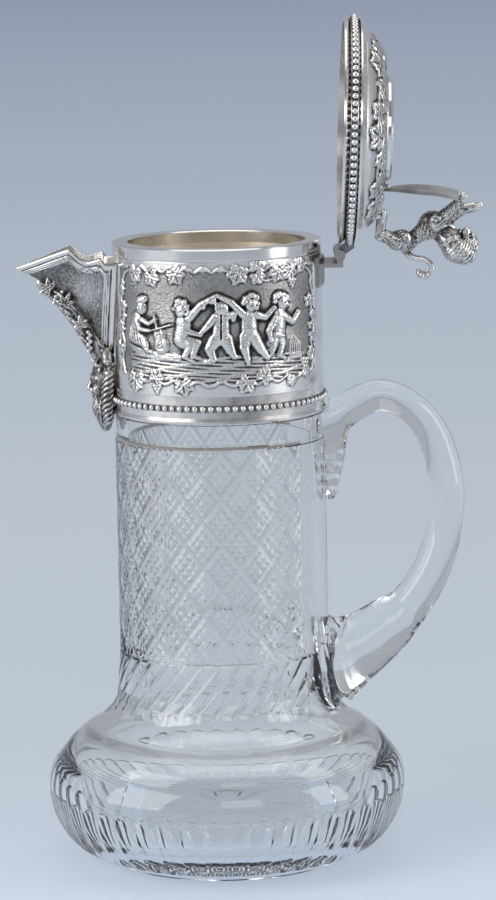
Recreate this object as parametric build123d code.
from build123d import *

import math
import os

# Claret jug: a cut-glass body with an applied glass handle, a silver collar with a
# beaked spout and a bearded mask, and a domed silver lid with a lion finial.
# Millimetres. Origin at the centre of the glass foot, +Z up, spout towards -X,
# handle and hinge towards +X. The lid is drawn shut and then swung open to rest.

os.makedirs("parts", exist_ok=True)

# ---- driving dimensions ----
FOOT_R, FOOT_TOP_Z = 46.0, 2.6
BELLY_R, BELLY_Z = 69.2, 29.5
FLUTE_COUNT, FLUTE_DEPTH, FLUTE_ARCH = 48, 0.9, 5.0
FLUTE_START_R = 48.0
NECK_TOP_R, NECK_LOW_R = 40.0, 40.4
PANEL_LOW_Z, PANEL_TOP_Z = 83.6, 163.9
DIAMOND_COLUMNS, DIAMOND_ROWS = 18, 9
DIAMOND_FLAT = 0.80
GROOVE_R, CORE_R, SLEEVE_IN_R = 39.1, 38.0, 37.4
RESERVE_ANGLE = 40.0
MITRE_COUNT, MITRE_SLANT, MITRE_DEPTH = 34, 40.0, 0.7
MITRE_LOW_Z, MITRE_TOP_Z = 63.2, 81.3
BORE_R = 35.4
SEAT_Z, TENON_R, TENON_TOP_Z = 173.6, 38.2, 196.0

SKIRT_R, SKIRT_LOW_Z = 40.75, 174.5
BAND_LOW_Z, BAND_TOP_Z = 184.6, 235.4
SLEEVE_R, SLEEVE_WALL, BAND_R = 39.5, 0.6, 40.0
BAND_END = 20.0
HINGE_STRIP_END = 19.0
RIM_R, RIM_Z, MOUTH_R = 40.0, 240.0, 34.0
LINER_R, LINER_LOW_Z, LINER_WALL = 34.9, 186.0, 0.6
COLLAR_BEAD_Z, COLLAR_BEAD_WIRE, COLLAR_BEADS = 180.1, 0.75, 106
WINDOW_HALF, WINDOW_LOW_Z, WINDOW_TOP_Z = 9.5, 207.5, 231.0
SPOUT_WALL = 1.0

MASK_BACK_X, MASK_FACE_X, MASK_HALF = -38.0, -49.0, 9.0
MASK_TOP_Z, MASK_HAIRLINE_Z, MASK_CHIN_Z, BEARD_TIP_Z = 196.5, 193.0, 177.4, 166.3

PIN_X, PIN_Z, PIN_R, PIN_HALF = 46.8, 234.0, 0.9, 14.2
PIN_CLEARANCE, KNUCKLE_GAP = 0.05, 0.3
BARREL_R, BRACKET_HALF, LID_KNUCKLE_HALF = 2.1, 13.0, 4.7
ARM_LOW_Z, ARM_TOP_Z, ARM_END_X = 229.6, 230.9, 48.0
HEEL_REACH, HEEL_HALF = 2.75, 0.8

LID_Z = 237.4
LID_BEAD_R, LID_BEAD_WIRE, LID_BEADS = 42.9, 1.4, 94
LID_SKIRT_IN_R, LID_WALL_R, LID_EDGE_R = 40.9, 41.45, 43.3
SKIRT_DROP, LID_BAND_R = 4.0, 42.4
DOME_FOOT_R, DOME_FOOT, DOME_TOP_R, DOME_TOP, DOME_WALL = 38.5, 4.65, 22.0, 12.6, 0.8
DISC_R, DISC_TOP = 20.9, 15.3
LOCATING_R, LOCATING_WALL, LOCATING_DROP = 32.5, 1.0, 0.4
LINER_PLATE, LINER_PLATE_R = 0.75, 40.7
LID_OPEN_ANGLE = 92.36

SHIELD_FOOT, SHIELD_HEIGHT, SHIELD_HALF = 12.5, 28.6, 9.6
SHIELD_FRONT_X, SHIELD_BOW_R, SHIELD_SAG, SHIELD_THICK = 20.1, 25.0, 2.4, 1.2
STUD_R, STUD_LOW = 1.0, 3.6
# where the finial is bolted down: x, y and the height each stud reaches
STUD_PLACES = ((32.4, -3.6, 11.8), (33.9, 3.6, 9.2), (22.0, 0.0, 15.4))

WIRE_SIDES = 5


# ---- helpers ----
def radial(radius, angle, z):
    """Point at a radius and an angle (degrees) about the jug's axis."""
    turn = math.radians(angle)
    return (radius * math.cos(turn), radius * math.sin(turn), z)


def outline(*edges):
    """Face in the X-Z plane bounded by edges given as (radius, height)."""
    return make_face(Plane.XZ * Curve(children=list(edges)))


def turned(points, start=0.0, arc=360.0):
    """Solid of revolution of a straight-sided (radius, height) outline."""
    face = make_face(Plane.XZ * Polyline(*points, close=True))
    return Rot(0, 0, start) * revolve(face, Axis.Z, arc)


def plate(points, half_width):
    """Straight-sided (x, z) outline extruded to both sides of the X-Z plane."""
    face = make_face(Plane.XZ * Polyline(*points, close=True))
    return extrude(face, half_width, both=True)


def facet(*points):
    return Face(Wire.make_polygon(points, close=True))


def skin(rings, closed=False):
    """Solid with flat triangles between rings of points that match one to one."""
    pairs = list(zip(rings, rings[1:]))
    if closed:
        pairs.append((rings[-1], rings[0]))
    faces = []
    for low, high in pairs:
        for k in range(len(low)):
            after = (k + 1) % len(low)
            faces.append(facet(low[k], low[after], high[after]))
            faces.append(facet(low[k], high[after], high[k]))
    if not closed:
        faces += [facet(*rings[0]), facet(*rings[-1])]
    return Solid(Shell(faces))


def limb(stations, sides=6):
    """Tapered, faceted limb through stations of (centre, half width, half depth)."""
    centres = [Vector(*station[0]) for station in stations]
    rings = []
    for k, (_, half_width, half_depth) in enumerate(stations):
        before = centres[max(k - 1, 0)]
        after = centres[min(k + 1, len(centres) - 1)]
        along = (after - before).normalized()
        across = Vector(0, 1, 0)
        up = along.cross(across).normalized()
        across = up.cross(along)
        ring = []
        for side in range(sides):
            turn = math.tau * (side + 0.5) / sides
            sideways = across * (half_width * math.cos(turn))
            ring.append(tuple(centres[k] + sideways + up * (half_depth * math.sin(turn))))
        rings.append(ring)
    return skin(rings)


def beaded_wire(ring_r, wire_r, z, beads):
    """Ring of soldered beads: the wire swells at each bead and necks in between."""
    rings = []
    for k in range(2 * beads):
        size = wire_r if k % 2 == 0 else 0.55 * wire_r
        ring = []
        for side in range(WIRE_SIDES):
            turn = math.tau * side / WIRE_SIDES
            reach = ring_r + size * math.cos(turn)
            ring.append(radial(reach, 180.0 * k / beads, z + size * math.sin(turn)))
        rings.append(ring)
    return skin(rings, closed=True)


# ---- glass body ----
def flute_radius(z):
    """Radius of the ridges between flutes: a quarter ellipse from foot to belly."""
    share = (BELLY_Z - z) / (BELLY_Z - FOOT_TOP_Z)
    return FLUTE_START_R + (BELLY_R - FLUTE_START_R) * math.sqrt(1 - share * share)


def fluted_base():
    """Thumb flutes with round arched heads, four facets wide."""
    shares = (0.0, 0.1, 0.28, 0.5, 0.72, 0.87, 0.95, 1.0)
    rings = []
    for share in shares:
        z = FOOT_TOP_Z + share * (BELLY_Z - FOOT_TOP_Z)
        ring = []
        for k in range(4 * FLUTE_COUNT):
            off_centre = (1.0, 0.5, 0.0, 0.5)[k % 4]
            head = BELLY_Z - FLUTE_ARCH * (1 - math.sqrt(1 - off_centre**2))
            bite = min(1.0, max(0.0, (head - z) / 3.0))
            depth = FLUTE_DEPTH * (1 - off_centre**2) * bite
            ring.append(radial(flute_radius(z) - 0.1 - depth, 360.0 * k / (4 * FLUTE_COUNT), z))
        rings.append(ring)
    return skin(rings)


def shoulder_and_neck():
    """Smooth outside of the glass from the belly to the tenon under the collar."""
    edges = [
        Line((0, BELLY_Z), (BELLY_R, BELLY_Z)),
        ThreePointArc((BELLY_R, BELLY_Z), (67.9, 36.0), (64.2, 41.3)),
        ThreePointArc((64.2, 41.3), (58.6, 47.9), (52.3, 52.7)),
        ThreePointArc((52.3, 52.7), (47.0, 56.3), (43.4, 60.4)),
        Line((43.4, 60.4), (41.6, 64.0)),
        Line((41.6, 64.0), (NECK_LOW_R, MITRE_TOP_Z)),
        Line((NECK_LOW_R, MITRE_TOP_Z), (NECK_LOW_R, PANEL_LOW_Z)),
        Line((NECK_LOW_R, PANEL_LOW_Z), (CORE_R, PANEL_LOW_Z)),
        Line((CORE_R, PANEL_LOW_Z), (CORE_R, PANEL_TOP_Z)),
        Line((CORE_R, PANEL_TOP_Z), (NECK_TOP_R, PANEL_TOP_Z)),
        Line((NECK_TOP_R, PANEL_TOP_Z), (NECK_TOP_R, SEAT_Z)),
        Line((NECK_TOP_R, SEAT_Z), (TENON_R, SEAT_Z)),
        Line((TENON_R, SEAT_Z), (TENON_R, TENON_TOP_Z)),
        Line((TENON_R, TENON_TOP_Z), (0, TENON_TOP_Z)),
        Line((0, TENON_TOP_Z), (0, BELLY_Z)),
    ]
    return revolve(outline(*edges), Axis.Z)


def diamond_sleeve():
    """Diamond panel: flat-topped diamonds between deep mitre grooves, in facets."""
    half_turn = 180.0 / DIAMOND_COLUMNS
    half_rise = (PANEL_TOP_Z - PANEL_LOW_Z) / DIAMOND_ROWS
    columns = round((360.0 - 2 * RESERVE_ANGLE) / half_turn)

    def place(column, row, radius):
        return radial(radius, RESERVE_ANGLE + column * half_turn, PANEL_LOW_Z + row * half_rise)

    faces = []
    side_walls = {0: {}, columns: {}}
    end_walls = {0: {}, DIAMOND_ROWS: {}}
    for column in range(columns + 1):
        for row in range(DIAMOND_ROWS + 1):
            crossing = (column + row) % 2 == 0
            radius = GROOVE_R if crossing else NECK_LOW_R
            marks = [(column, row, radius)]
            if not crossing:
                marks += [(column + s * DIAMOND_FLAT, row, NECK_LOW_R) for s in (-1, 1)]
                marks += [(column, row + s * DIAMOND_FLAT, NECK_LOW_R) for s in (-1, 1)]
            for mark in marks:
                inside = 0 <= mark[0] <= columns and 0 <= mark[1] <= DIAMOND_ROWS
                if inside and mark[0] in side_walls:
                    side_walls[mark[0]][mark[1]] = mark[2]
                if inside and mark[1] in end_walls:
                    end_walls[mark[1]][mark[0]] = mark[2]
            if crossing:
                continue
            for across in (-1, 1):
                for rise in (-1, 1):
                    if not 0 <= column + across <= columns:
                        continue
                    if not 0 <= row + rise <= DIAMOND_ROWS:
                        continue
                    centre = place(column, row, NECK_LOW_R)
                    side_in = place(column + across * DIAMOND_FLAT, row, NECK_LOW_R)
                    tip_in = place(column, row + rise * DIAMOND_FLAT, NECK_LOW_R)
                    side_out = place(column + across, row, GROOVE_R)
                    tip_out = place(column, row + rise, GROOVE_R)
                    faces.append(facet(centre, side_in, tip_in))
                    faces.append(facet(side_in, side_out, tip_out))
                    faces.append(facet(side_in, tip_out, tip_in))
    for column, marks in side_walls.items():
        wall = [place(column, row, radius) for row, radius in sorted(marks.items())]
        wall += [place(column, DIAMOND_ROWS, SLEEVE_IN_R), place(column, 0, SLEEVE_IN_R)]
        faces.append(facet(*wall))
    stops = sorted(set(end_walls[0]) | set(end_walls[DIAMOND_ROWS]))
    for row, marks in end_walls.items():
        for column in range(columns):
            outer = [place(c, row, marks[c]) for c in sorted(marks) if column <= c <= column + 1]
            inner = [place(c, row, SLEEVE_IN_R) for c in stops if column <= c <= column + 1]
            faces.append(facet(*outer, *reversed(inner)))
    for low, high in zip(stops, stops[1:]):
        faces.append(
            facet(
                place(low, 0, SLEEVE_IN_R),
                place(high, 0, SLEEVE_IN_R),
                place(high, DIAMOND_ROWS, SLEEVE_IN_R),
                place(low, DIAMOND_ROWS, SLEEVE_IN_R),
            )
        )
    return Solid(Shell(faces))


def glass_inside():
    """Wine space: straight bore, swelling into the base, with a slightly domed floor."""
    edges = [
        Line((0, 210), (BORE_R, 210)),
        Line((BORE_R, 210), (BORE_R, 66.0)),
        ThreePointArc((BORE_R, 66.0), (40.6, 55.2), (49.0, 48.5)),
        ThreePointArc((49.0, 48.5), (60.5, 36.5), (58.0, 21.5)),
        ThreePointArc((58.0, 21.5), (52.0, 14.5), (42.0, 12.0)),
        Line((42.0, 12.0), (0, 11.0)),
        Line((0, 11.0), (0, 210)),
    ]
    return revolve(outline(*edges), Axis.Z)


def mitre_cutter():
    """Wedge for one slanted mitre cut in the band below the diamonds."""
    middle = (MITRE_LOW_Z + MITRE_TOP_Z) / 2 + 0.6
    depth = 3.0
    section = Polyline((0, 0), (depth, 2 * depth), (depth, -2 * depth), close=True)
    wedge = extrude(make_face(Plane.XY * section), 14.0, both=True)
    return Pos(40.9 - MITRE_DEPTH, 0, middle) * Rot(MITRE_SLANT, 0, 0) * wedge


def star_cutter():
    """Wedge across the underside: one full line of the star."""
    section = Polyline((0, 0.9), (-2.4, -1.5), (2.4, -1.5), close=True)
    return Pos(0, 0, 1.5) * extrude(make_face(Plane.XZ * section), 35.0, both=True)


def glass_body():
    body = shoulder_and_neck()
    body += diamond_sleeve()
    reserve = [
        (SLEEVE_IN_R, PANEL_LOW_Z),
        (NECK_LOW_R, PANEL_LOW_Z),
        (NECK_LOW_R, PANEL_TOP_Z),
        (SLEEVE_IN_R, PANEL_TOP_Z),
    ]
    body += turned(reserve, -RESERVE_ANGLE, 2 * RESERVE_ANGLE)
    body += fluted_base()
    body += turned([(0, 0), (FOOT_R - 0.6, 0), (FOOT_R, 0.6), (FOOT_R, FOOT_TOP_Z), (0, FOOT_TOP_Z)])
    body -= glass_inside()
    body -= turned([(0, 0), (37.0, 0), (36.0, 1.5), (0, 1.5)])
    cuts = [Rot(0, 0, 15.0 * k) * star_cutter() for k in range(12)]
    step = 360.0 / MITRE_COUNT
    cuts += [
        Rot(0, 0, step * (k + 0.5)) * mitre_cutter()
        for k in range(MITRE_COUNT)
        if RESERVE_ANGLE < step * (k + 0.5) < 360.0 - RESERVE_ANGLE
    ]
    return body - cuts


# ---- glass handle ----
def handle_section(x, z, lean, half_width, half_depth):
    """Ellipse across the handle; lean is the direction of travel in degrees."""
    along = Vector(math.cos(math.radians(lean)), 0, math.sin(math.radians(lean)))
    spot = Plane(origin=(x, 0, z), x_dir=(0, 1, 0), z_dir=tuple(along))
    return spot * Ellipse(half_width, half_depth)


def glass_handle(neck):
    """Round rod drawn from the neck, looped out and spread into the lower pad."""
    arm = loft(
        [
            handle_section(38.0, 166.8, 28.0, 7.4, 7.4),
            handle_section(48.5, 173.4, 34.0, 6.5, 6.6),
            handle_section(61.3, 178.7, 2.0, 6.2, 6.1),
            handle_section(73.0, 174.0, -42.0, 6.2, 5.8),
            handle_section(82.4, 162.0, -62.0, 6.5, 6.2),
            handle_section(86.9, 141.2, -90.0, 6.9, 6.8),
            handle_section(83.2, 116.9, -107.0, 7.2, 7.1),
            handle_section(74.0, 99.2, -129.0, 7.9, 8.0),
            handle_section(62.5, 88.0, -141.0, 9.5, 10.8),
            handle_section(52.5, 81.0, -150.0, 13.5, 16.0),
            handle_section(36.0, 75.5, -168.0, 20.0, 21.0),
        ]
    )
    crimps = [(36.0, 168.0), (47.4, 168.0)]
    for k in range(5):
        top = 163.0 - 5.2 * k
        crimps += [(47.2 - 0.55 * k, top), (45.0 - 0.5 * k, top - 2.6)]
    crimps += [(41.0, 138.0), (36.0, 138.0)]
    tail = plate(crimps, 5.0)
    ridge = [(45.0, 66.0), (47.6, 58.6)]
    for k in range(8):
        ridge += [(49.6 + 2.85 * k, 61.6 + 3.15 * k), (51.6 + 2.85 * k, 61.9 + 3.15 * k)]
    ridge += [(72.0, 89.5), (62.0, 88.0)]
    underside = plate(ridge, 2.4)
    ribs = []
    for k in range(7):
        angle = -30.0 + 10.0 * k
        top = 98.0 - 9.5 * abs(k - 3) / 3
        stations = []
        for z, reach in ((58.0, 45.6), (63.0, 43.4), (72.0, 42.4), (84.0, 42.2), (top, 40.6)):
            stations.append((radial(reach, angle, z), 3.1, 2.4))
        ribs.append(limb(stations))
    collar_room = turned([(0, SKIRT_LOW_Z - 0.2), (41.7, SKIRT_LOW_Z - 0.2), (41.7, 190), (0, 190)])
    return (arm + tail + underside + ribs) - neck - collar_room


# ---- silver collar ----
def spout_window(solid):
    """Cut the shield-shaped opening from the jug's mouth into the spout."""
    spring_z = WINDOW_TOP_Z - WINDOW_HALF
    half, low, middle = WINDOW_HALF, WINDOW_LOW_Z, (WINDOW_LOW_Z + spring_z) / 2
    face = make_face(
        Plane.YZ
        * Curve(
            children=[
                Line((-0.4 * half, low), (0.4 * half, low)),
                Line((0.4 * half, low), (0.8 * half, middle)),
                Line((0.8 * half, middle), (half, spring_z)),
                ThreePointArc((half, spring_z), (0, WINDOW_TOP_Z), (-half, spring_z)),
                Line((-half, spring_z), (-0.8 * half, middle)),
                Line((-0.8 * half, middle), (-0.4 * half, low)),
            ]
        )
    )
    return solid - Pos(-40.0, 0, 0) * extrude(face, 12.0, both=True)


def collar_sleeve():
    inner = SLEEVE_R - SLEEVE_WALL
    wall = turned(
        [
            (SKIRT_R - 0.65, SKIRT_LOW_Z),
            (SKIRT_R, SKIRT_LOW_Z),
            (SKIRT_R, SKIRT_LOW_Z + 0.8),
            (BAND_R + 0.1, SKIRT_LOW_Z + 2.0),
            (BAND_R, BAND_LOW_Z),
            (SLEEVE_R, BAND_LOW_Z),
            (SLEEVE_R, BAND_TOP_Z),
            (inner, BAND_TOP_Z),
            (inner, SKIRT_LOW_Z + 3.0),
        ]
    )
    strip = [
        (inner + 0.3, BAND_LOW_Z),
        (BAND_R, BAND_LOW_Z),
        (BAND_R, BAND_TOP_Z),
        (inner + 0.3, BAND_TOP_Z),
    ]
    wall += turned(strip, -HINGE_STRIP_END, 2 * HINGE_STRIP_END)
    return spout_window(wall)


def frieze_panel(side):
    """Chased panel between spout and hinge strip; side -1 is the front one."""
    section = [
        (SLEEVE_R, BAND_LOW_Z),
        (BAND_R + 0.35, BAND_LOW_Z),
        (BAND_R + 0.35, BAND_LOW_Z + 1.0),
        (BAND_R, BAND_LOW_Z + 1.6),
        (BAND_R, BAND_TOP_Z - 0.2),
        (SLEEVE_R, BAND_TOP_Z - 0.2),
    ]
    span = 180.0 - BAND_END - HINGE_STRIP_END
    start = HINGE_STRIP_END if side > 0 else -HINGE_STRIP_END - span
    return turned(section, start, span)


def plaster_bed():
    inner = SLEEVE_R - SLEEVE_WALL
    bed = turned(
        [
            (TENON_R, SKIRT_LOW_Z + 3.0),
            (inner, SKIRT_LOW_Z + 3.0),
            (inner, BAND_TOP_Z),
            (LINER_R, BAND_TOP_Z),
            (LINER_R, TENON_TOP_Z),
            (TENON_R, TENON_TOP_Z),
        ]
    )
    return spout_window(bed)


def collar_liner():
    tube = turned(
        [
            (LINER_R - LINER_WALL, LINER_LOW_Z),
            (LINER_R, LINER_LOW_Z),
            (LINER_R, BAND_TOP_Z),
            (LINER_R - LINER_WALL, BAND_TOP_Z),
        ]
    )
    return spout_window(tube)


def collar_rim():
    return turned(
        [
            (MOUTH_R, BAND_TOP_Z),
            (BAND_R - 0.1, BAND_TOP_Z),
            (RIM_R, BAND_TOP_Z + 0.5),
            (RIM_R, RIM_Z - 0.5),
            (RIM_R - 0.5, RIM_Z),
            (MOUTH_R + 0.5, RIM_Z),
            (MOUTH_R, RIM_Z - 0.5),
        ]
    )


def collar_envelope():
    """Everything inside the collar's outer surface, used to seat what is soldered on."""
    return turned(
        [
            (0, 150.0),
            (SKIRT_R + 0.05, 150.0),
            (SKIRT_R + 0.05, SKIRT_LOW_Z + 2.0),
            (BAND_R + 0.1, SKIRT_LOW_Z + 3.0),
            (BAND_R + 0.02, RIM_Z),
            (0, RIM_Z),
        ]
    )


# ---- spout ----
# stations from the collar to the tip: x, half width at the lip, lip height, keel height
SPOUT_STATIONS = (
    (-37.0, 14.2, 232.9, 196.5),
    (-41.9, 13.7, 232.9, 198.8),
    (-43.7, 13.0, 235.0, 200.0),
    (-47.0, 11.8, 233.6, 202.9),
    (-49.3, 11.0, 233.0, 207.4),
    (-52.5, 10.0, 235.6, 212.4),
    (-56.0, 9.0, 238.3, 216.6),
    (-62.0, 6.6, 236.7, 221.7),
    (-67.7, 4.2, 234.2, 225.4),
    (-73.0, 2.0, 231.9, 228.4),
    (-76.5, 0.8, 230.6, 229.9),
)


def spout_ring(station, wall, lift):
    """Section across the spout: lip, hollow cheek, round keel and back up."""
    x, half, lip, keel = station
    half = max(half - wall, 0.15)
    keel = min(keel + 1.6 * wall, lip - 0.3)
    drop = lip - keel
    profile = ((1.0, 0.0), (0.86, 0.3), (0.62, 0.6), (0.3, 0.87), (0.0, 1.0))
    left = [(x, -share * half, lip - depth * drop) for share, depth in profile]
    right = [(x, share * half, lip - depth * drop) for share, depth in reversed(profile[:-1])]
    if lift:
        left[0] = (x, -half, lip + lift)
        right[-1] = (x, half, lip + lift)
    return left + right


def spout_solid():
    return skin([spout_ring(station, 0.0, 0.0) for station in SPOUT_STATIONS])


def spout_shell():
    channel = skin([spout_ring(station, SPOUT_WALL, 3.0) for station in SPOUT_STATIONS[:-1]])
    return spout_solid() - channel - collar_envelope()


def spout_rim_wire():
    """Half-round moulding soldered along both lips and round the tip."""
    wire_r = 0.8
    strands = []
    for side in (-1, 1):
        lip = [((x, side * half, z - 0.9), wire_r, wire_r) for x, half, z, _ in SPOUT_STATIONS]
        strands.append(limb(lip, 4))
        seam = []
        for y, z in ((13.7, 232.0), (11.8, 222.0), (8.4, 210.0), (3.9, 201.0)):
            seam.append(((-41.2, side * y, z), wire_r, wire_r))
        strands.append(limb(seam, 4))
    return strands[0] + strands[1:] - spout_solid() - collar_envelope()


def vine_leaf(x, z, size, turn, half_width):
    """Five-lobed leaf in the X-Z plane, thick enough to wrap the spout's keel."""
    points = []
    for k in range(10):
        reach = size * (1.0, 0.52)[k % 2] * (1.12 if k == 0 else 1.0)
        angle = math.radians(turn + 36.0 * k)
        points.append((x + reach * math.cos(angle), z + reach * math.sin(angle)))
    return plate(points, half_width)


def spout_leaf_spray(head):
    """Cast vine spray that wraps the keel from under the tip down to the mask."""
    spray = limb(
        [
            ((-69.5, 0, 223.6), 0.7, 0.7),
            ((-64.0, 0, 219.6), 2.6, 2.2),
            ((-59.0, 0, 214.2), 3.2, 2.6),
            ((-54.0, 0, 207.0), 2.8, 2.4),
            ((-50.0, 0, 199.4), 2.4, 2.0),
            ((-46.6, 0, 194.6), 1.6, 1.2),
        ]
    )
    for x, z, size, turn, half_width in (
        (-64.5, 222.6, 6.0, 150.0, 3.6),
        (-58.5, 217.4, 5.2, 60.0, 5.0),
        (-52.6, 208.6, 4.6, 90.0, 5.6),
    ):
        spray += vine_leaf(x, z, size, turn, half_width)
    return spray - spout_solid() - collar_envelope() - head


# ---- mask ----
def mask():
    """Bearded head with a plain face: brow and nose end divide it into equal thirds."""
    third = (MASK_HAIRLINE_Z - MASK_CHIN_Z) / 3
    brow_z = MASK_HAIRLINE_Z - third
    nose_z = MASK_CHIN_Z + third
    lip_z = nose_z - third / 3
    profile = (
        (MASK_BACK_X, MASK_TOP_Z),
        (MASK_FACE_X + 3.4, MASK_TOP_Z),
        (MASK_FACE_X + 0.6, MASK_HAIRLINE_Z),
        (MASK_FACE_X, brow_z + 0.4),
        (MASK_FACE_X + 0.7, brow_z - 0.9),
        (MASK_FACE_X - 2.0, nose_z + 0.8),
        (MASK_FACE_X - 0.2, nose_z),
        (MASK_FACE_X - 0.5, lip_z),
        (MASK_FACE_X + 0.1, (lip_z + MASK_CHIN_Z) / 2),
        (MASK_FACE_X - 0.6, MASK_CHIN_Z),
        (MASK_FACE_X + 0.8, (MASK_CHIN_Z + BEARD_TIP_Z) / 2),
        (MASK_FACE_X + 4.4, BEARD_TIP_Z),
        (MASK_BACK_X, BEARD_TIP_Z + 1.3),
    )
    middle_z = (MASK_TOP_Z + BEARD_TIP_Z) / 2
    rings = []
    for share in (-1.0, -0.85, -0.55, -0.22, 0.22, 0.55, 0.85, 1.0):
        bulge = 0.35 + 0.65 * math.sqrt(1 - share * share)
        bridge = 1.0 if abs(share) < 0.3 else 0.955
        rings.append(
            [
                (
                    MASK_BACK_X + (x - MASK_BACK_X) * bulge * bridge,
                    MASK_HALF * share,
                    middle_z + (z - middle_z) * (0.72 + 0.28 * bulge),
                )
                for x, z in profile
            ]
        )
    bead_room = turned([(39, 178.9), (41.5, 178.9), (41.5, 181.3), (39, 181.3)])
    return skin(rings) - collar_envelope() - bead_room


# ---- hinge ----
def barrel(low, high, bore):
    """Hinge knuckle between two values of y, bored for the pin."""
    spot = Pos(PIN_X, (low + high) / 2, PIN_Z) * Rot(90, 0, 0)
    return spot * (Cylinder(BARREL_R, high - low) - Cylinder(bore, high - low + 2))


def hinge_bracket():
    leaf_angle = math.degrees(math.asin(BRACKET_HALF / BAND_R))
    on_band = BAND_R + 0.02
    section = [
        (on_band, 222.0),
        (BAND_R + 0.6, 222.0),
        (BAND_R + 1.1, 223.2),
        (BAND_R + 1.1, 233.0),
        (on_band, 233.0),
    ]
    leaf = turned(section, -leaf_angle, 2 * leaf_angle)
    shelf = [(38.0, ARM_LOW_Z), (ARM_END_X, ARM_LOW_Z), (ARM_END_X, ARM_TOP_Z), (38.0, ARM_TOP_Z)]
    arm = plate(shelf, BRACKET_HALF)
    arm -= turned([(0, 220), (on_band, 220), (on_band, 236), (0, 236)])
    bracket = leaf + arm
    knuckle_start = LID_KNUCKLE_HALF + KNUCKLE_GAP
    for side in (-1, 1):
        low, high = sorted((side * knuckle_start, side * BRACKET_HALF))
        middle = (low + high) / 2
        web = Pos(PIN_X, middle, (ARM_TOP_Z + PIN_Z) / 2) * Box(2.4, high - low, PIN_Z - ARM_TOP_Z)
        bracket += web
        bracket += barrel(low, high, PIN_R)
    return bracket - Pos(PIN_X, 0, PIN_Z) * Rot(90, 0, 0) * Cylinder(PIN_R, 60)


def hinge_pin():
    pin = Cylinder(PIN_R, 2 * PIN_HALF)
    head = Cylinder(1.35, 0.8)
    pin += Pos(0, 0, BRACKET_HALF + 0.4) * head
    pin += Pos(0, 0, -BRACKET_HALF - 0.4) * head
    return Pos(PIN_X, 0, PIN_Z) * Rot(90, 0, 0) * pin


# ---- lid, drawn shut ----
def lid_rim():
    points = [
        (LID_SKIRT_IN_R, -SKIRT_DROP),
        (LID_EDGE_R, -SKIRT_DROP),
        (LID_EDGE_R, -3.2),
        (LID_BAND_R, -2.2),
        (LID_WALL_R, -1.4),
        (LID_WALL_R, 1.4),
        (LID_BAND_R, 2.2),
        (LID_BAND_R, 2.9),
        (41.6, 3.4),
        (40.2, 3.8),
        (38.9, 4.6),
        (37.6, 4.6),
        (37.6, 3.55),
        (LID_SKIRT_IN_R, 3.55),
    ]
    return turned([(r, LID_Z + n) for r, n in points])


def lid_bead_wire():
    wire = beaded_wire(LID_BEAD_R, LID_BEAD_WIRE, LID_Z, LID_BEADS)
    on_wall = LID_WALL_R + 0.02
    wall = turned([(0, LID_Z - 4), (on_wall, LID_Z - 4), (on_wall, LID_Z + 4), (0, LID_Z + 4)])
    gap = Pos(LID_BEAD_R, 0, LID_Z) * Box(8, 2 * LID_KNUCKLE_HALF + 0.6, 8)
    return wire - wall - gap


def lid_liner():
    top = LID_Z + 3.5
    low = top - LINER_PLATE
    ring_low = LID_Z - LOCATING_DROP
    return turned(
        [
            (0, top),
            (LINER_PLATE_R, top),
            (LINER_PLATE_R, low),
            (LOCATING_R, low),
            (LOCATING_R, ring_low),
            (LOCATING_R - LOCATING_WALL, ring_low),
            (LOCATING_R - LOCATING_WALL, low),
            (0, low),
        ]
    )


def lid_dome():
    top = LID_Z + DOME_TOP
    foot = LID_Z + DOME_FOOT
    edges = [
        Line((0, top), (DOME_TOP_R, top)),
        ThreePointArc((DOME_TOP_R, top), (31.3, LID_Z + 10.3), (DOME_FOOT_R, foot)),
        Line((DOME_FOOT_R, foot), (DOME_FOOT_R - 1.2, foot)),
        ThreePointArc(
            (DOME_FOOT_R - 1.2, foot),
            (31.3 - 0.5, LID_Z + 10.3 - DOME_WALL),
            (DOME_TOP_R, top - DOME_WALL),
        ),
        Line((DOME_TOP_R, top - DOME_WALL), (0, top - DOME_WALL)),
        Line((0, top - DOME_WALL), (0, top)),
    ]
    return revolve(outline(*edges), Axis.Z)


def lid_top_disc():
    points = [
        (0, DOME_TOP + 0.05),
        (20.4, DOME_TOP + 0.05),
        (DISC_R, 13.3),
        (DISC_R, 14.3),
        (20.2, 14.6),
        (19.2, 14.6),
        (18.6, DISC_TOP),
        (17.4, DISC_TOP),
        (16.8, 14.5),
        (0, 14.5),
    ]
    return turned([(r, LID_Z + n) for r, n in points])


def lid_hinge_leaf():
    """Strap from the lid's skirt to the middle knuckle, with the heel that stops it."""
    strap = plate(
        [
            (LID_WALL_R - 0.3, 236.3),
            (LID_WALL_R - 0.3, 239.6),
            (44.6, 239.6),
            (47.4, 235.6),
            (46.8, 233.0),
            (45.2, 233.0),
            (43.5, 236.3),
        ],
        LID_KNUCKLE_HALF,
    )
    heel = plate(
        [
            (PIN_X, PIN_Z - HEEL_HALF),
            (PIN_X + HEEL_REACH, PIN_Z - HEEL_HALF),
            (PIN_X + HEEL_REACH, PIN_Z + HEEL_HALF),
            (PIN_X, PIN_Z + HEEL_HALF),
        ],
        LID_KNUCKLE_HALF,
    )
    leaf = strap + heel + barrel(-LID_KNUCKLE_HALF, LID_KNUCKLE_HALF, PIN_R)
    leaf -= Pos(PIN_X, 0, PIN_Z) * Rot(90, 0, 0) * Cylinder(PIN_R + PIN_CLEARANCE, 40)
    wall = turned([(0, 230), (LID_WALL_R + 0.02, 230), (LID_WALL_R + 0.02, 245), (0, 245)])
    return leaf - wall - lid_rim()


# ---- lion finial: x towards the hinge, z above the bead line ----
def on_lid(x, y, z):
    return (x, y, LID_Z + z)


def lion_limb(stations, sides=6):
    return limb([(on_lid(x, y, z), a, b) for x, y, z, a, b in stations], sides)


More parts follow.
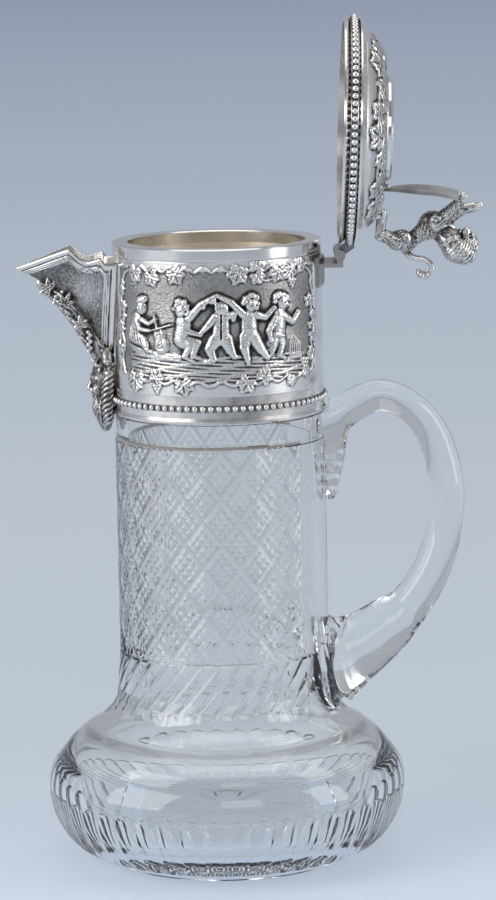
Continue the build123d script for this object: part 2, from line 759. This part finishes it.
def lion():
    """Rampant lion standing on the dome, fore paws raised, tail curled behind."""
    torso = lion_limb(
        [
            (43.4, 0, 18.6, 2.6, 2.4),
            (41.8, 0, 21.6, 4.0, 4.2),
            (39.6, 0, 25.9, 3.2, 2.8),
            (36.4, 0, 30.2, 4.4, 5.6),
            (36.6, 0, 34.6, 4.6, 5.2),
            (39.4, 0, 38.6, 3.8, 4.4),
        ],
        8,
    )
    mane = lion_limb(
        [
            (39.0, 0, 35.2, 4.6, 3.6),
            (42.4, 0, 38.6, 6.0, 5.6),
            (45.0, 0, 42.6, 6.4, 6.0),
            (46.4, 0, 46.4, 4.6, 3.6),
        ],
        8,
    )
    face = lion_limb(
        [
            (44.6, 0, 44.6, 4.4, 4.6),
            (41.2, 0, 45.4, 3.9, 4.3),
            (38.9, 0, 45.2, 2.8, 3.0),
            (36.8, 0, 44.9, 2.1, 2.3),
        ]
    )
    tail = lion_limb(
        [
            (44.2, 0, 20.4, 1.6, 1.6),
            (47.2, 0, 23.6, 1.2, 1.2),
            (48.6, 0, 27.0, 1.1, 1.1),
            (50.4, 0, 30.4, 1.1, 1.1),
            (52.4, 0, 32.0, 1.0, 1.0),
            (54.2, 0, 31.0, 1.1, 1.1),
            (54.6, 0, 28.8, 1.9, 1.9),
            (53.2, 0, 26.9, 0.8, 0.8),
        ]
    )
    near_leg = lion_limb(
        [
            (42.0, -2.6, 21.6, 2.6, 3.8),
            (40.0, -3.4, 16.8, 2.2, 2.6),
            (38.8, -3.6, 12.4, 1.7, 1.8),
        ]
    )
    far_leg = lion_limb(
        [
            (43.0, 2.6, 20.0, 2.6, 3.4),
            (42.2, 3.4, 15.6, 2.0, 2.2),
            (41.4, 3.6, 11.4, 1.5, 1.6),
        ]
    )
    near_foot = lion_limb(
        [
            (40.0, -3.6, 12.6, 1.3, 1.2),
            (35.0, -3.6, 12.4, 1.6, 1.5),
            (31.2, -3.6, 12.4, 2.0, 2.0),
            (29.4, -3.6, 12.2, 1.4, 1.3),
        ]
    )
    far_foot = lion_limb(
        [
            (42.4, 3.6, 11.8, 1.2, 1.1),
            (38.4, 3.6, 10.6, 1.5, 1.5),
            (35.4, 3.6, 9.4, 1.9, 1.9),
            (32.8, 3.6, 9.2, 1.3, 1.2),
        ]
    )
    near_arm = lion_limb(
        [
            (35.4, -3.2, 33.4, 2.4, 3.0),
            (31.6, -3.8, 36.6, 2.0, 2.2),
            (27.2, -3.6, 40.6, 1.6, 1.7),
            (24.6, -3.2, 43.0, 2.2, 2.2),
            (23.2, -3.0, 44.2, 1.7, 1.6),
        ]
    )
    far_arm = lion_limb(
        [
            (36.0, 3.2, 36.6, 2.4, 3.0),
            (31.6, 3.8, 40.2, 1.8, 2.2),
            (29.2, 3.8, 44.6, 1.6, 1.5),
            (28.6, 3.6, 48.6, 1.9, 1.7),
            (28.4, 3.6, 50.6, 1.2, 1.1),
        ]
    )
    legs = [near_leg, near_foot, far_leg, far_foot]
    return torso + mane + face + tail + legs + [near_arm, far_arm]


def lion_shield():
    """Heater shield held upright in front of the lion, slightly bowed."""
    base, top, half = SHIELD_FOOT, SHIELD_FOOT + SHIELD_HEIGHT, SHIELD_HALF
    turn_z, waist_z, waist = base + 15.0, base + 6.4, 6.6
    face = make_face(
        Plane.YZ
        * Curve(
            children=[
                Line((-half, top), (half, top)),
                Line((half, top), (half, turn_z)),
                ThreePointArc((half, turn_z), (waist, waist_z), (0, base)),
                ThreePointArc((0, base), (-waist, waist_z), (-half, turn_z)),
                Line((-half, turn_z), (-half, top)),
            ]
        )
    )
    reach, rim_r, core_r = 16.0, SHIELD_BOW_R - SHIELD_SAG, SHIELD_BOW_R - SHIELD_THICK
    bow = outline(
        ThreePointArc((rim_r, -reach), (SHIELD_BOW_R, 0), (rim_r, reach)),
        Line((rim_r, reach), (rim_r - SHIELD_THICK, reach)),
        ThreePointArc((rim_r - SHIELD_THICK, reach), (core_r, 0), (rim_r - SHIELD_THICK, -reach)),
        Line((rim_r - SHIELD_THICK, -reach), (rim_r, -reach)),
    )
    barrel_wall = Pos(SHIELD_FRONT_X + SHIELD_BOW_R, 0, (base + top) / 2) * revolve(bow, Axis.Z)
    blank = Pos(SHIELD_FRONT_X + 3.0, 0, 0) * extrude(face, 6.0, both=True)
    return Pos(0, 0, LID_Z) * (blank & barrel_wall)


def studs():
    """Studs cast under the lion's hind paws and the shield's foot."""
    rods = []
    for x, y, top in STUD_PLACES:
        rods.append(Pos(*on_lid(x, y, (top + STUD_LOW) / 2)) * Cylinder(STUD_R, top - STUD_LOW))
    return rods


def nuts():
    """Nuts inside the lid, below the dome."""
    bodies = []
    for x, y, _ in STUD_PLACES:
        nut = extrude(RegularPolygon(2.0, 6), 1.3) - Cylinder(STUD_R, 10)
        bodies.append(Pos(*on_lid(x, y, 3.7)) * nut)
    return bodies


def under_dome():
    """Everything below the dome's and the disc's outer surfaces."""
    top = LID_Z + DOME_TOP
    dome = outline(
        Line((0, top), (DOME_TOP_R, top)),
        ThreePointArc((DOME_TOP_R, top), (31.3, LID_Z + 10.3), (DOME_FOOT_R, LID_Z + DOME_FOOT)),
        Line((DOME_FOOT_R, LID_Z + DOME_FOOT), (DOME_FOOT_R, LID_Z)),
        Line((DOME_FOOT_R, LID_Z), (0, LID_Z)),
        Line((0, LID_Z), (0, top)),
    )
    disc_r = DISC_R + 0.1
    return revolve(dome, Axis.Z) + turned([(0, top), (disc_r, top), (disc_r, top + 3), (0, top + 3)])


# ---- assembly ----
def swing_open(shape):
    return shape.rotate(Axis((PIN_X, 0, PIN_Z), (0, 1, 0)), LID_OPEN_ANGLE)


def save(name, shape):
    solids = shape.solids()
    whole = solids[0] if len(solids) == 1 else Compound(children=solids)
    export_step(whole, f"parts/{name}.step")


neck_space = shoulder_and_neck() + turned(
    [
        (SLEEVE_IN_R, PANEL_LOW_Z),
        (NECK_LOW_R, PANEL_LOW_Z),
        (NECK_LOW_R, PANEL_TOP_Z),
        (SLEEVE_IN_R, PANEL_TOP_Z),
    ]
)
bead_seat = turned([(0, 170), (BAND_R + 0.1, 170), (BAND_R + 0.1, 190), (0, 190)])
bead_ring = beaded_wire(BAND_R + 0.6, COLLAR_BEAD_WIRE, COLLAR_BEAD_Z, COLLAR_BEADS)
head = mask()
rods = studs()
finial_seat = under_dome()
beast = lion()

jug_parts = {
    "glass_body": glass_body(),
    "glass_handle": glass_handle(neck_space),
    "plaster_bed": plaster_bed(),
    "collar_sleeve": collar_sleeve(),
    "frieze_front": frieze_panel(-1),
    "frieze_back": frieze_panel(1),
    "collar_rim": collar_rim(),
    "collar_liner": collar_liner(),
    "collar_bead_wire": bead_ring - bead_seat,
    "spout_shell": spout_shell(),
    "spout_rim_wire": spout_rim_wire(),
    "spout_leaf_spray": spout_leaf_spray(head),
    "mask": head,
    "hinge_bracket": hinge_bracket(),
    "hinge_pin": hinge_pin(),
}
lid_parts = {
    "lid_rim": lid_rim(),
    "lid_bead_wire": lid_bead_wire(),
    "lid_dome": lid_dome() - rods,
    "lid_top_disc": lid_top_disc(),
    "lid_liner": lid_liner(),
    "lid_hinge_leaf": lid_hinge_leaf(),
    "lion": beast - finial_seat - rods,
    "lion_shield": lion_shield() - beast - finial_seat - rods,
    "finial_studs": Compound(children=rods),
    "finial_nuts": Compound(children=nuts()),
}
for name, shape in jug_parts.items():
    save(name, shape)
for name, shape in lid_parts.items():
    save(name, swing_open(shape))
